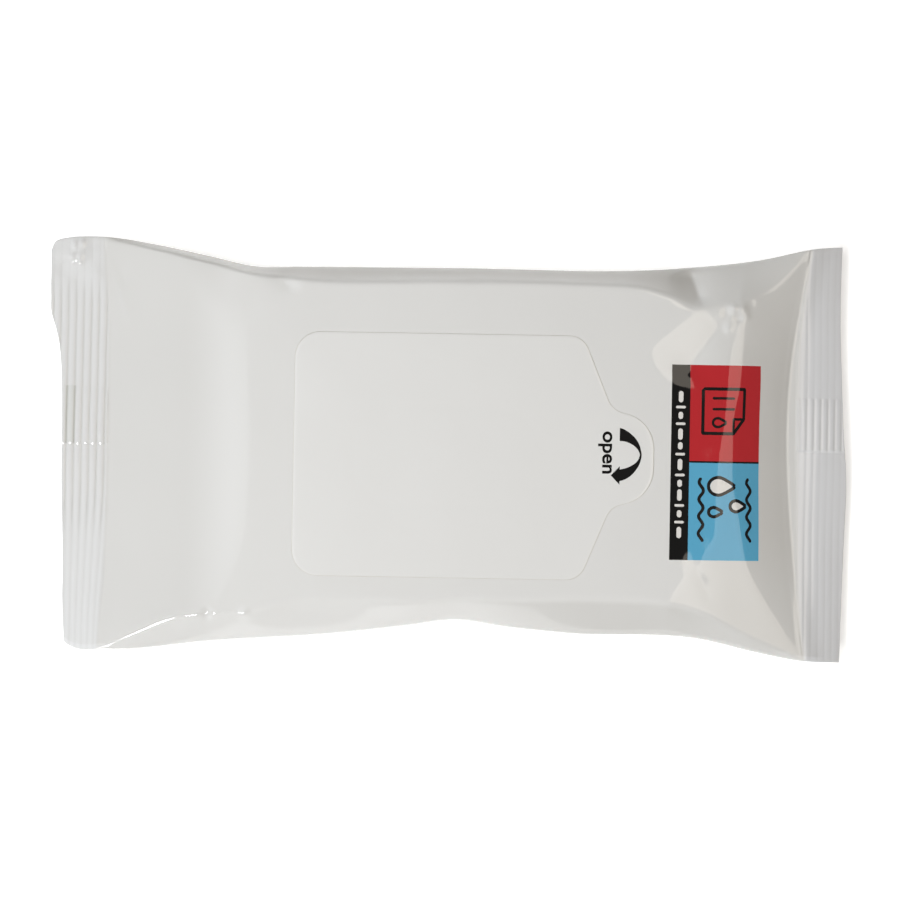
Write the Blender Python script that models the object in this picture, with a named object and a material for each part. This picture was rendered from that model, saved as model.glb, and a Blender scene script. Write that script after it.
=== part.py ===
"""Travel pack of wet wipes: a sealed film pouch lying on its back, and the reseal label on its face.

The pouch is one closed body. A single sheet of film is wrapped round the folded stack of wipes, joined
underneath by a fin seal along its middle, and crimped flat across both ends. The label is a separate thin
piece of film, stuck over the opening in the pouch's face.

Metres, +Z up. X runs along the pack, from the plain end to the end with the colour block. The origin is in
the middle of the pack, on the surface that it lies on.
"""

import math

import bpy
import numpy as np

MM = 0.001

# Film and seals, in millimetres
TUBE_HALF = 40.0          # half the width of the flattened tube, seen at the end seals
SEAL_THICK = 0.36         # film on film, with the crimp pressed into it
FIN_WIDTH = 10.9          # the fin seal, folded to one side of the middle
FIN_EXTRA = 0.20          # what its layers add inside the end seals
RIB_PITCH = 1.5           # spacing of the crimp's ribs
RIB_DEPTH = 0.13          # how far each rib stands out of the seal's middle plane

# Left end: its far corner flares outwards and curls a little
LEFT_TIP, LEFT_ROOT = -75.5, -66.3
LEFT_ROOT_Z, LEFT_TIP_Z = 6.2, 3.4
FLARE_OUT, FLARE_UP = 2.2, 1.6
FLARE_FROM, FLARE_TO = 12.0, 27.0

# Right end
RIGHT_TIP, RIGHT_ROOT = 77.7, 67.0
RIGHT_ROOT_Z, RIGHT_TIP_Z = 6.2, 5.4

# Filled middle
FACE_Z = 13.6             # height of the flat face over the stack
STACK_LEFT, STACK_RIGHT = -38.8, 49.5
EDGE_Z = 6.5              # height of the widest line round the pack's sides
SIDE_POWER = 5.0          # squareness of the rounded sides along the stack
END_POWER = 2.4           # and of the lens-like sections near the end seals

# Half-width of the pack seen from above, at a few stations along it: the side away from
# the viewer, and the near side with its shallow dent
FAR_EDGE = ((-78.0, 39.6), (-68.0, 40.1), (-56.0, 38.5), (-38.0, 35.1), (0.0, 35.3), (44.0, 36.0), (60.0, 37.8), (71.0, 40.2), (77.7, 40.4))
NEAR_EDGE = ((-78.0, 39.6), (-66.0, 40.0), (-46.0, 38.1), (-21.0, 36.0), (2.0, 33.3), (19.0, 35.0), (50.0, 36.3), (60.0, 38.4), (69.0, 40.0), (77.7, 40.4))

# Label: a body with rounded corners and a rounded pull tab to the right
LABEL_AXIS_Y = -1.3
LABEL_LEFT, LABEL_HALF = -30.1, 23.6
LABEL_SHOULDER = (25.6, 23.6)
LABEL_NECK = (31.4, 9.4)
LABEL_TAB = (39.6, 7.4)
LABEL_RADII = (5.0, 4.0, 4.0, 7.0)    # body corner, shoulder, neck, tab
LABEL_THICK = 0.30
LABEL_GAP = 0.30          # clearance over the pouch


def clear_scene():
    for obj in list(bpy.data.objects):
        bpy.data.objects.remove(obj, do_unlink=True)


def material(name, colour, roughness):
    """A Principled material of one colour; both pieces are plastic film, so none is metallic."""
    mat = bpy.data.materials.new(name)
    mat.use_nodes = True
    bsdf = mat.node_tree.nodes["Principled BSDF"]
    bsdf.inputs["Base Color"].default_value = (*colour, 1.0)
    bsdf.inputs["Roughness"].default_value = roughness
    bsdf.inputs["Metallic"].default_value = 0.0
    return mat


def ease(u):
    """0 below 0, 1 above 1, and a smooth S between."""
    u = np.clip(u, 0.0, 1.0)
    return u * u * (3.0 - 2.0 * u)


def through(stations, x):
    """A smooth curve through (x, value) stations: each stretch is a cubic whose slopes at its ends
    are the mean slopes of the stretches that meet there."""
    at = np.array([s[0] for s in stations])
    value = np.array([s[1] for s in stations])
    slope = np.gradient(value, at)
    i = np.clip(np.searchsorted(at, x) - 1, 0, len(at) - 2)
    step = at[i + 1] - at[i]
    u = np.clip((x - at[i]) / step, 0.0, 1.0)
    return (
        value[i] * (1 + 2 * u) * (1 - u) ** 2
        + slope[i] * step * u * (1 - u) ** 2
        + value[i + 1] * u * u * (3 - 2 * u)
        + slope[i + 1] * step * u * u * (u - 1)
    )


def soft_low(a, b, width):
    """The lower of a and b, with the corner between them rounded over about this width."""
    h = np.clip(0.5 + 0.5 * (b - a) / width, 0.0, 1.0)
    return b * (1 - h) + a * h - width * h * (1 - h)


def seal_height(x):
    """Height of the middle plane: the seals' own slope beyond the roots, the side line between them."""
    left = LEFT_ROOT_Z + (LEFT_TIP_Z - LEFT_ROOT_Z) * (LEFT_ROOT - x) / (LEFT_ROOT - LEFT_TIP)
    right = RIGHT_ROOT_Z + (RIGHT_TIP_Z - RIGHT_ROOT_Z) * (x - RIGHT_ROOT) / (RIGHT_TIP - RIGHT_ROOT)
    into = ease((x - LEFT_ROOT) / 24.0) * ease((RIGHT_ROOT - x) / 16.0)
    ends = np.where(x < 0, np.where(x < LEFT_ROOT, left, LEFT_ROOT_Z), np.where(x > RIGHT_ROOT, right, RIGHT_ROOT_Z))
    return ends + (EDGE_Z - ends) * into


def ribs(x):
    """The crimp: a wave along X inside each end seal, fading at the seal's root."""
    wave = np.cos(2 * math.pi * (x - LEFT_TIP) / RIB_PITCH)
    return RIB_DEPTH * wave * (ease((LEFT_ROOT - x) / 0.8) + ease((x - RIGHT_ROOT) / 0.8))


def stations():
    """Where the sections stand along X: each rib's crest and hollow, closer on the slopes, wide on the face."""
    half = RIB_PITCH / 2
    left = np.arange(LEFT_TIP, LEFT_ROOT + 0.3, half)
    right = np.arange(RIGHT_TIP, RIGHT_ROOT - 0.3, -half)[::-1]
    rise = np.linspace(left[-1] + 1.6, STACK_LEFT - 3.0, 9)
    fall = np.linspace(STACK_RIGHT + 3.0, right[0] - 1.6, 6)
    face = np.linspace(STACK_LEFT, STACK_RIGHT, 12)
    return np.concatenate([left, rise, face, fall, right])


def columns():
    """Where each section has its points across Y: evenly over the face, with the fin's two edges
    among them, and closer round the sides."""
    even = np.linspace(-26.0, 26.0, 11)
    fin = np.array([0.3, FIN_WIDTH - 0.3, FIN_WIDTH])
    middle = np.concatenate([even, fin])
    turn = np.linspace(0.0, math.pi / 2, 8)[1:]
    side = 26.0 + 9.2 * np.sin(turn) ** 0.8
    return np.unique(np.round(np.concatenate([-side, middle, side]), 4))


def film_surface(x, y):
    """Upper and lower surface of the pouch over stations x and columns y, as two grids of points.

    Across each section the column is stretched to the pack's half-width there. The upper surface is the
    lowest of the flat face and of the two slopes down to the seals, rounded off at the sides as a
    superellipse; the lower one mirrors it with shallower slopes and is cut flat where it rests."""
    x, y = np.meshgrid(x, y, indexing="ij")
    rest = 35.2
    half = np.where(y > 0, through(FAR_EDGE, x), through(NEAR_EDGE, x))
    y = y * (1 + (half / rest - 1) * ease((np.abs(y) - 18.0) / (rest - 18.0)))
    middle = seal_height(x)
    across = np.clip(np.abs(y) / half, 0.0, 1.0)

    rise = (FACE_Z - LEFT_ROOT_Z) / (STACK_LEFT - LEFT_ROOT)
    fall = (FACE_Z - RIGHT_ROOT_Z) / (RIGHT_ROOT - STACK_RIGHT)
    top = soft_low(LEFT_ROOT_Z + rise * (x - LEFT_ROOT), RIGHT_ROOT_Z + fall * (RIGHT_ROOT - x), 1.0)
    top = soft_low(top, np.full_like(x, FACE_Z), 2.0)
    dip = 1.5 * LEFT_ROOT_Z / (STACK_LEFT - LEFT_ROOT)
    lift = 1.5 * RIGHT_ROOT_Z / (RIGHT_ROOT - STACK_RIGHT)
    depth = soft_low(dip * (x - LEFT_ROOT), lift * (RIGHT_ROOT - x), 1.0)

    in_seal = 1 - ease((x - LEFT_ROOT + 0.4) / 0.8) * ease((RIGHT_ROOT + 0.4 - x) / 0.8)
    power = END_POWER + (SIDE_POWER - END_POWER) * ease((x - LEFT_ROOT - 4) / 26.0) * ease((RIGHT_ROOT - 2 - x) / 18.0)
    rounded = (1 - across**power) ** (1 / power)
    edge = (1 - across**40.0) ** 0.5
    up = np.maximum(top - middle, 0.0) * (1 - in_seal) * rounded + SEAL_THICK / 2 * edge
    down = np.maximum(depth - LEFT_ROOT_Z + middle, 0.0) * (1 - in_seal) * rounded * 1.1 + SEAL_THICK / 2 * edge
    fin = ((y > 0.15) & (y < FIN_WIDTH - 0.1)) * in_seal * FIN_EXTRA
    wave = ribs(x) * edge

    high = middle + up + wave
    low = np.maximum(middle - down + wave - fin, 0.0)

    out = np.clip((LEFT_ROOT - x) / (LEFT_ROOT - LEFT_TIP), 0.0, 1.0) * ease((y - FLARE_FROM) / (FLARE_TO - FLARE_FROM))
    x = x - FLARE_OUT * out
    lift = FLARE_UP * out
    return np.stack([x, y, high + lift], -1), np.stack([x, y, low + lift], -1)


def build_pouch():
    upper, lower = film_surface(stations(), columns())
    rows, across = upper.shape[:2]
    points = []
    top, bottom = {}, {}
    for i in range(rows):
        for j in range(across):
            top[i, j] = len(points)
            points.append(upper[i, j] * MM)
        for j in range(across):
            if j in (0, across - 1):
                bottom[i, j] = top[i, j]
            else:
                bottom[i, j] = len(points)
                points.append(lower[i, j] * MM)
    faces = []
    for i in range(rows - 1):
        for j in range(across - 1):
            faces.append((top[i, j], top[i + 1, j], top[i + 1, j + 1], top[i, j + 1]))
            faces.append((bottom[i, j], bottom[i, j + 1], bottom[i + 1, j + 1], bottom[i + 1, j]))
    for j in range(across - 1):
        faces.append((bottom[0, j], top[0, j], top[0, j + 1], bottom[0, j + 1]))
        last = rows - 1
        faces.append((bottom[last, j], bottom[last, j + 1], top[last, j + 1], top[last, j]))
    faces = [tuple(dict.fromkeys(face)) for face in faces]
    mesh = bpy.data.meshes.new("film_pouch")
    mesh.from_pydata([tuple(p) for p in points], [], faces)
    mesh.validate()
    mesh.shade_smooth()
    mesh.set_sharp_from_angle(angle=math.radians(40))
    return bpy.data.objects.new("film_pouch", mesh)


def rounded_outline(corners, steps=10):
    """A closed outline through (x, y, radius) corners, each replaced by an arc that touches both its sides."""
    points = []
    for i, (x, y, radius) in enumerate(corners):
        here = np.array([x, y])
        back = np.array(corners[i - 1][:2]) - here
        on = np.array(corners[(i + 1) % len(corners)][:2]) - here
        back = back / np.linalg.norm(back)
        on = on / np.linalg.norm(on)
        half = math.acos(float(np.clip(back @ on, -1.0, 1.0))) / 2
        centre = here + (back + on) / np.linalg.norm(back + on) * radius / math.sin(half)
        first = here + back * radius / math.tan(half) - centre
        last = here + on * radius / math.tan(half) - centre
        start = math.atan2(first[1], first[0])
        turn = math.atan2(last[1], last[0]) - start
        turn = (turn + math.pi) % (2 * math.pi) - math.pi
        for k in range(steps + 1):
            angle = start + turn * k / steps
            points.append(centre + radius * np.array([math.cos(angle), math.sin(angle)]))
    return points


def label_corners():
    body, shoulder, neck, tab = LABEL_RADII
    upper = [
        (LABEL_LEFT, LABEL_HALF, body),
        (*LABEL_SHOULDER, shoulder),
        (*LABEL_NECK, neck),
        (*LABEL_TAB, tab),
    ]
    lower = [(x, -y, radius) for x, y, radius in reversed(upper)]
    return [(x, y + LABEL_AXIS_Y, radius) for x, y, radius in upper + lower]


def build_label():
    """A flat outline given its thickness by the curve's extrusion."""
    outline = rounded_outline(label_corners())
    curve = bpy.data.curves.new("reseal_label", "CURVE")
    curve.dimensions = "2D"
    curve.fill_mode = "BOTH"
    curve.extrude = LABEL_THICK / 2 * MM
    spline = curve.splines.new("POLY")
    spline.points.add(len(outline) - 1)
    for point, place in zip(spline.points, outline):
        point.co = (place[0] * MM, place[1] * MM, 0.0, 1.0)
    spline.use_cyclic_u = True
    label = bpy.data.objects.new("reseal_label", curve)
    label.location = (0.0, 0.0, (FACE_Z + LABEL_GAP + LABEL_THICK / 2) * MM)
    return label


def main():
    clear_scene()
    pack = bpy.data.collections.new("wet_wipes_pack")
    bpy.context.scene.collection.children.link(pack)
    pouch = build_pouch()
    pouch.data.materials.append(material("white_film", (0.68, 0.68, 0.66), 0.28))
    label = build_label()
    label.data.materials.append(material("label_film", (0.70, 0.70, 0.68), 0.30))
    for obj in (pouch, label):
        pack.objects.link(obj)


main()
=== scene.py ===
# %% [markdown]
# # A travel pack of wet wipes
#
# A folded stack of moist wipes is wrapped in one sheet of glossy white film. The film is closed
# underneath by a fin seal along the middle, and crimped flat between ribbed jaws at both ends.
# A peel-off label covers the opening in the top face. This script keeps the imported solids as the
# frame, and lays a finely worked film and label over them.
#
# Everything is computed in millimetres and turned to metres when a mesh is made. X runs along the
# pack, Y across it and Z up, and the pack lies on Z = 0.

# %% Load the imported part
import math

import bpy
import numpy as np
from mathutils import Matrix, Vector


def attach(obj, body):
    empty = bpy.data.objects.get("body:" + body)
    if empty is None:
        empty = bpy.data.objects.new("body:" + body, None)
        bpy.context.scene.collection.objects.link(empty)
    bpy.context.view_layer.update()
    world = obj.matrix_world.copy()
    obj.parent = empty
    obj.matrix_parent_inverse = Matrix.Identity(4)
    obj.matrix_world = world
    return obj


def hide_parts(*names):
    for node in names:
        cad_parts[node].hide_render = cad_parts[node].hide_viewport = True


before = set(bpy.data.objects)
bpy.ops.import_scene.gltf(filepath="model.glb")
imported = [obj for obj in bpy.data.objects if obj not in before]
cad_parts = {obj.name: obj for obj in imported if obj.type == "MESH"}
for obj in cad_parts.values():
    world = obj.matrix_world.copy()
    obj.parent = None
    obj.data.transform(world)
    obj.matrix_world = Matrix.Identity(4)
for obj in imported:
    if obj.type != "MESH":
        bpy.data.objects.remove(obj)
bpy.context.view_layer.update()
MM = 0.001
print("nodes in the frame:", sorted(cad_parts))

# %% [markdown]
# ## Small tools for shaping film
#
# Film pulled over a block is made of nearly flat facets that meet in soft ridges. A cloth
# simulation would give such facets too, but in places of its own choosing. Here each facet is a
# plane, and the surface is the lowest of the planes with its corners rounded. That takes an
# S-shaped step, a curve through a few stations, a rounded lower and upper envelope, and a slow
# unevenness that is the same in every run.

# %% Steps, stations and envelopes
def ease(u):
    """0 below 0, 1 above 1, and between them 3u^2 - 2u^3."""
    u = np.clip(u, 0.0, 1.0)
    return u * u * (3.0 - 2.0 * u)


def through(stations, x):
    """A smooth curve through (x, value) stations: a cubic on each stretch, whose slopes at its
    ends are the mean slopes of the stretches that meet there."""
    at, value = np.array(stations).T
    slope = np.gradient(value, at)
    i = np.clip(np.searchsorted(at, x) - 1, 0, len(at) - 2)
    step = at[i + 1] - at[i]
    u = np.clip((x - at[i]) / step, 0.0, 1.0)
    return (
        value[i] * (1 + 2 * u) * (1 - u) ** 2
        + slope[i] * step * u * (1 - u) ** 2
        + value[i + 1] * u * u * (3 - 2 * u)
        + slope[i + 1] * step * u * u * (u - 1)
    )


def lower_of(a, b, width):
    """The lower of a and b. Where they differ by less than width, a parabola rounds the corner."""
    h = np.clip(0.5 + 0.5 * (b - a) / width, 0.0, 1.0)
    return b * (1 - h) + a * h - width * h * (1 - h)


def upper_of(a, b, width):
    """The upper of a and b, rounded in the same way."""
    return -lower_of(-a, -b, width)


def soft_noise(x, y, size, seed):
    """Smooth random swellings between -1 and 1: a seeded random height at each knot of a grid of
    this size, and an S-shaped blend between the four knots round each point."""
    knots = np.random.default_rng(seed).uniform(-1, 1, (64, 64))
    u, v = x / size + 32.0, y / size + 32.0
    i, j = np.floor(u).astype(int) % 63, np.floor(v).astype(int) % 63
    s, t = ease(u - np.floor(u)), ease(v - np.floor(v))
    low = knots[i, j] * (1 - s) + knots[i + 1, j] * s
    high = knots[i, j + 1] * (1 - s) + knots[i + 1, j + 1] * s
    return low * (1 - t) + high * t


print("step at a quarter:", ease(np.array(0.25)))

# %% [markdown]
# ## The pouch's outline
#
# The tube of film is 80 mm wide when flat. Over the stack it draws in to about 70 mm, because the
# same length of film now goes round a block 13 mm thick. Seen from above, the far side is almost
# straight, and the near side has a shallow dent. Each edge is a few stations joined by a smooth
# curve, so that one bend can be moved without touching the others.

# %% Outline of the filled part and of the seals
SIDE_Z = 6.5              # height of the widest line round the filled part
FACE_Z = 13.6             # height of the crown of the face
LEFT_ROOT, RIGHT_ROOT = -66.3, 67.6     # where the filled part ends and the bands start
# Distance from the middle to the silhouette, as (x, distance)
FAR_EDGE = (
    (-78, 37.4), (-77.5, 38.7), (-76.5, 39.45), (-75, 39.8), (-72, 40.1), (-68, 40.1),
    (-56, 38.5), (-47, 36.7), (-38, 34.9), (-30, 35), (0, 35.25), (44, 35.9), (60, 37.8),
    (71, 40.2), (77, 40.8),
)
NEAR_EDGE = (
    (-75, 38.6), (-74, 39.3), (-66, 40), (-46, 38.1), (-21, 36.1), (-8, 34.5), (1.5, 33.2),
    (12, 34.4), (24, 35.4), (50, 36.2), (60, 38.4), (69, 40), (78, 40.4),
)
# The bands' cut ends, and where the right band starts, as (y, x)
LEFT_TIP = (
    (-41, -74.5), (-31, -75), (-24, -75), (-9, -75.4), (10, -75.6), (16.2, -75.9), (19.5, -76.3),
    (22.5, -77), (25.5, -77.8), (30, -78), (35, -78), (38, -78), (41, -78),
)
RIGHT_TIP = (
    (-41, 76.9), (-28, 77.2), (-17, 77.5), (-4, 77.75), (4, 77.1), (16.5, 76.5), (25, 76.1),
    (36, 76.1), (41, 76.2),
)
RIGHT_START = (
    (-41, 69.5), (-33, 68.5), (-21, 67.9), (-12, 67.6), (6, 67.4), (20, 67.5), (34, 68.8),
    (41, 69.7),
)
# Share of each band's length that its lean hides from above, as (y, share)
LEFT_LEAN = (
    (-41, 0.12), (-30, 0.06), (-15, 0.015), (-6, 0.004), (0, 0.003), (10, 0.003), (20, 0.003),
    (30, 0.003), (41, 0.003),
)
RIGHT_LEAN = (
    (-41, 0.12), (-30, 0.09), (-15, 0.07), (0, 0.06), (15, 0.07), (27, 0.09), (41, 0.14),
)


def half_width(x, y):
    """Distance from the middle to the silhouette, on the side that y is on."""
    return np.where(y > 0, through(FAR_EDGE, x), through(NEAR_EDGE, x))


def left_root(y):
    """Where the left band starts: it curves outwards towards both corners."""
    return LEFT_ROOT - 1.1 * ease((np.abs(y) - 24.0) / 16.0)


def right_foot(y):
    """Where the steep right slope meets the flat film: a shallow arc, furthest in at the middle."""
    return 65.2 + 4.5 * (y / 40.0) ** 2 - 0.35 * np.sin(np.clip(y / 34.0, -1, 1) * math.pi)


def root_height(y):
    """The seals' roots rise a little towards both corners, where the bands hang down most."""
    return 6.0 + 0.8 * ease((np.abs(y) - 18.0) / 20.0)


waist = half_width(np.array([1.5, 1.5]), np.array([1.0, -1.0]))
print("half widths at the waist, far and near:", np.round(waist, 1), "mm")

# %% [markdown]
# ## Facets over the stack
#
# At the stack's ends the film leaves the block in slopes: one broad slope on the left, and on the
# right a gentle facet followed by a steep one. The steep one bulges a little, because air is
# caught under it. Where two planes cross, the lower one wins, as it does in film that is pulled
# tight, so the ridges need no drawing of their own.

# %% Planes of the face
# How far in from the silhouette the rounded shoulder reaches, as (x, distance)
FAR_FACET = (
    (-66, 0.8), (-50, 1.3), (-40, 1.6), (-35, 2), (-28, 2.8), (0, 2.9), (30, 3), (36, 3.4),
    (42, 5.4), (47, 8), (57, 8), (63, 6), (68, 2.5), (72, 1),
)
NEAR_FACET = (
    (-66, 1), (-60, 3.4), (-51.8, 5.5), (-50.4, 5.5), (-39.5, 5.2), (-30, 6.6), (0, 4.2),
    (30, 6.8), (50, 5), (57, 3.2), (68, 1),
)
# Where the gentle and the steep right facet start, as (y, x)
GENTLE_FROM = (
    (-41, 41), (-32, 41.5), (-27, 43.5), (-22, 47.6), (-17, 50.8), (-13, 51.4), (-6, 51.9),
    (0, 52.3), (7, 52.9), (17, 52.3), (41, 52),
)
STEEP_FROM = (
    (-41, 64.5), (-34, 63.5), (-30, 61.8), (-26, 59.7), (-20.8, 57.7), (-14.4, 56.5), (-10, 55.7),
    (-6, 54.9), (0, 54.8), (7.4, 55), (12.7, 56), (17, 56.3), (25, 56.3), (30, 56), (41, 55),
)
LEFT_SLOPE, GENTLE_SLOPE = 0.255, 0.19
GENTLE_TOP = 12.6         # height where the gentle facet starts
PAST_FOOT = 0.9           # the steep facet aims this far beyond its foot


def side_height(x, y):
    """Height of the silhouette line from one seal's root to the other's."""
    ends = 1.0 - ease((x - LEFT_ROOT) / 20.0) * ease((RIGHT_ROOT - x) / 14.0)
    return SIDE_Z + (root_height(y) - SIDE_Z) * ends


def face_over_stack(x, y):
    """The top before its sides are rounded off: the crowned face, the left slope, the gentle right
    facet and the steep one, each a plane or nearly, and the lowest of them at each point."""
    root = root_height(y)
    face = FACE_Z - 0.9 * ((x - 4.0) / 44.0) ** 2 - 0.5 * ((y + 1.0) / 30.0) ** 2
    bulge = 0.4 * np.sin(np.clip((x + 66.0) / 26.0, 0, 1) * math.pi)
    left = root + LEFT_SLOPE * (x - left_root(y)) + bulge
    gentle_from, steep_from = through(GENTLE_FROM, y), through(STEEP_FROM, y)
    gentle = GENTLE_TOP - GENTLE_SLOPE * (x - gentle_from)
    at_break = GENTLE_TOP - GENTLE_SLOPE * (steep_from - gentle_from)
    run = right_foot(y) + PAST_FOOT - steep_from
    fall = (at_break - root + 0.35) / run
    beyond = np.clip((x - steep_from) / run, 0.0, 1.0)
    steep = at_break - fall * (x - steep_from) * (0.80 + 0.20 * beyond)
    top = lower_of(face, left, 0.35)
    top = lower_of(top, gentle, 0.10)
    return lower_of(top, steep, 0.16)


sample = np.array([0.0, -55.0, 50.0, 60.0])
print("facet heights along the middle:", np.round(face_over_stack(sample, 0 * sample), 2), "mm")

# %% [markdown]
# ## Folds, dents and dimples
#
# On a real pack the corner folds are what give away how loose the film is. At the far right corner
# the side and the end pull against each other, so a shallow valley runs in from the corner and
# stops in a knot of small dimples. A fold is added to the facets as a ridge or valley with a
# tent-shaped section, and a dimple as a small bell.

# %% Folds, dents and dimples
# Small dents crumpled into the far left corner of the crimped band
CORNER_DENTS = (
    ((-73.9, 35.9), 0.40, 0.7),
    ((-72.4, 35.6), 0.40, 0.7),
    ((-73.4, 38.5), 0.36, 0.7),
    ((-71.9, 38.8), 0.36, 0.7),
    ((-75.6, 33.5), -0.22, 1.6),
    ((-72.8, 31.5), -0.16, 1.5),
    ((-69.3, 33.0), 0.16, 1.3),
)
# Each fold: one end, the other end, height (negative for a valley) and width, in millimetres
FOLDS = (
    ((-68.0, 39.0), (-61.5, 22.0), 0.28, 0.8),
    ((-66.5, 37.0), (-63.0, 30.0), -0.25, 1.4),
    ((-37.8, 35.8), (-29.5, 29.5), -0.45, 1.0),
    ((45.6, 37.2), (48.8, 27.8), -0.85, 1.4),
    ((54.6, 28.5), (43.6, 13.0), -0.80, 3.6),
    ((50.1, 29.5), (36.6, 18.5), 0.15, 1.4),
    ((52.0, -30.5), (46.3, -18.5), -0.15, 1.1),
    ((-66.0, -38.5), (-48.0, -30.5), 0.10, 1.2),
    ((38.0, -28.5), (49.0, -33.5), 0.14, 0.8),
)
# Each dimple: its centre, height and radius
DIMPLES = (
    ((53.2, 27.4), -0.34, 0.9),
    ((54.6, 28.2), 0.34, 0.8),
    ((56.4, 28.0), 0.30, 0.7),
    ((57.0, 26.6), 0.30, 0.7),
    ((55.4, 26.2), -0.40, 0.9),
    ((53.7, 24.2), 0.26, 0.7),
    ((58.0, 28.8), -0.14, 0.9),
    ((-50.7, -32.6), 0.10, 0.6),
    ((-38.9, -32.4), 0.30, 0.7),
    ((-62.5, -24.5), 0.06, 1.8),
    ((59.0, 3.0), 0.12, 1.4),
)


def fold(x, y, start, end, height, width):
    """A ridge or valley along a line: its section is a rounded tent, and it fades at both ends."""
    (x0, y0), (x1, y1) = start, end
    length = math.hypot(x1 - x0, y1 - y0)
    along = ((x - x0) * (x1 - x0) + (y - y0) * (y1 - y0)) / length**2
    off = ((x - x0) * (y1 - y0) - (y - y0) * (x1 - x0)) / length
    tent = np.exp(0.2 - np.sqrt((off / width) ** 2 + 0.04))
    return height * tent * ease(along / 0.3) * ease((1 - along) / 0.3)


def dimple(x, y, centre, height, radius):
    """A round swelling or hollow with a bell-shaped section."""
    return height * np.exp(-((x - centre[0]) ** 2 + (y - centre[1]) ** 2) / radius**2)


print("folds:", len(FOLDS), "dimples:", len(DIMPLES), "dents:", len(CORNER_DENTS))

# %% [markdown]
# ## Upper and lower film
#
# Both sides start from the silhouette line. From there the upper film rises to the facets by a
# share that grows like a square root at first, which makes a round shoulder, and the lower film
# drops to the table in the same way. The slot that is cut under the label shows through it as a
# faint pressed line.

# %% Upper surface
OPENING_HALF_LENGTH, OPENING_HALF_WIDTH = 9.0, 9.55


def opening_distance(x, y):
    """Distance from the edge of the opening under the label, a slot with half-round ends."""
    past = np.maximum(np.abs(x + 0.35) - OPENING_HALF_LENGTH, 0.0)
    return np.hypot(past, y + 1.35) - OPENING_HALF_WIDTH


def shoulder_knee(x, y):
    """How widely the shoulder is rounded where it meets the facets. The near ridge is sharpest at
    the left, but for one soft spot, and the far one is softest at the right."""
    far = 0.10 + 0.08 * ease((x - 56.5) / 6.0)
    sharp = 0.07 * ease((x + 52.5) / 1.5) * ease((-37.0 - x) / 2.0)
    soft_spot = 0.34 * np.exp(-(((x + 46.4) / 1.0) ** 2))
    near = 0.10 - sharp + soft_spot + 0.04 * ease((x + 36.0) / 12.0)
    return np.where(y > 0, far, near)


def top_height(x, y):
    """Upper surface of the filled part at any (x, y): the facets above, brought down to the
    silhouette on both sides, with folds, dimples and slow swellings added."""
    inside = np.maximum(half_width(x, y) - np.abs(y), 0.0)
    u = inside / np.where(y > 0, through(FAR_FACET, x), through(NEAR_FACET, x))
    share = lower_of(0.35 * np.sqrt(u) + 0.65 * u, np.ones_like(u), shoulder_knee(x, y))
    middle = side_height(x, y)
    rise = upper_of(face_over_stack(x, y) - middle, np.zeros_like(x), 0.20)
    detail = sum(fold(x, y, *f) for f in FOLDS) + sum(dimple(x, y, *d) for d in DIMPLES)
    detail = detail + 0.10 * soft_noise(x, y, 11.0, 3) + 0.02 * soft_noise(x, y, 4.3, 5)
    free = ease((x - left_root(y)) / 5.0) * ease((right_foot(y) - x) / 4.0) * ease(inside / 2.5)
    foot_line = 0.09 * np.exp(-(((x - right_foot(y)) / 0.4) ** 2)) * ease(inside / 2.0)
    foot_line = foot_line * (1 - 0.6 * ease((y - 26.0) / 8.0))
    pressed_line = -0.03 * np.exp(-((opening_distance(x, y) / 0.8) ** 2))
    return middle + rise * share + detail * free + foot_line + pressed_line


print("top heights along the middle:", np.round(top_height(sample, 0 * sample), 2), "mm")

# %% Underside
def under_height(x, y):
    """Lower surface: flat where the stack rests, with slopes up to the seals and rounded sides."""
    inside = np.maximum(half_width(x, y) - np.abs(y), 0.0)
    u = inside / 4.6
    share = lower_of(0.45 * np.sqrt(u) + 0.55 * u, np.ones_like(u), 0.12)
    middle = side_height(x, y)
    left = root_height(y) - 0.34 * (x - left_root(y))
    right = root_height(y) - 0.52 * (right_foot(y) + 1.0 - x)
    low = upper_of(upper_of(left, right, 0.6), np.zeros_like(x), 0.8)
    drop = upper_of(middle - low, np.zeros_like(x), 0.25)
    free = ease((x - left_root(y)) / 8.0) * ease((right_foot(y) - x) / 6.0) * ease(inside / 4.0)
    swell = 0.16 * np.abs(soft_noise(x, y, 9.0, 11)) * free
    return np.maximum(middle - drop * share + swell, 0.0)


print("under heights along the middle:", np.round(under_height(sample, 0 * sample), 2), "mm")

# %% [markdown]
# ## The crimped end seals
#
# Heated jaws press the two layers flat and mould ribs into them, about 1.5 mm apart. The bands are
# 8 to 11 mm long. The left one lies nearly level but for its near corner, and the right one hangs
# down a little, most of all at both corners. The fin seal is folded over inside each band, so its
# 11 mm strip is thicker and its ribs are pressed deeper. Ribs this fine could be left to a bump
# map, but the edge of the band and the light on it would stay smooth, so they are in the mesh.

# %% Ribs
SEAL_THICK = 0.30
FIN_SPAN = {"left": (0.1, 11.2), "right": (0.95, 11.3)}     # low and high y of the folded fin
FIN_RAMP = 0.45           # width of the ramp at its folded edge
LEFT_PITCH, RIGHT_PITCH = 1.5, 1.4
MARK_FROM = -72.4         # the cutter's register mark starts here and runs out to the cut end


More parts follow.
